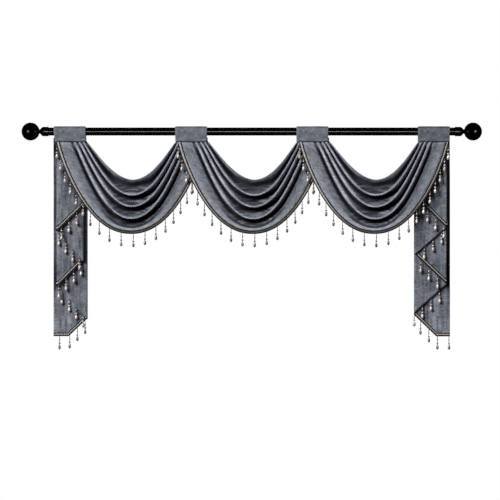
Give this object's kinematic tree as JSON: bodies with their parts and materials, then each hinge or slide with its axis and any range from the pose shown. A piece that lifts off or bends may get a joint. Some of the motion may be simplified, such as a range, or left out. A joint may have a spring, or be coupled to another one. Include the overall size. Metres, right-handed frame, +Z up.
{
  "type": "swag and tail drape on a curtain rod",
  "caption": "Window valance of draped swags between pleated side tails, with bead fringe on braided hems, hung by cloth tabs from a ball-ended rod.",
  "frame": {"origin": "on the axis of the rod, at the middle of its length", "axes": "+X along the rod, +Z up, +Y towards the wall or window behind, -Y into the room"},
  "size_m": [2.0946, 0.1098, 1.0359],
  "materials": {
    "cloth": "matte",
    "lacquer": "gloss",
    "trim": "satin",
    "beads": "gloss"
  },
  "bodies": {
    "root": {"rod": "lacquer", "finial_left": "lacquer", "finial_right": "lacquer", "tab_1": "cloth", "tab_2": "cloth", "tab_3": "cloth", "tab_4": "cloth", "swag_1": "cloth", "swag_2": "cloth", "swag_3": "cloth", "swag_fringe_1": "trim", "swag_fringe_2": "trim", "swag_fringe_3": "trim", "tail_left": "cloth", "tail_right": "cloth", "tail_fringe_left": "trim", "tail_fringe_right": "trim"}
  },
  "joints": []
}
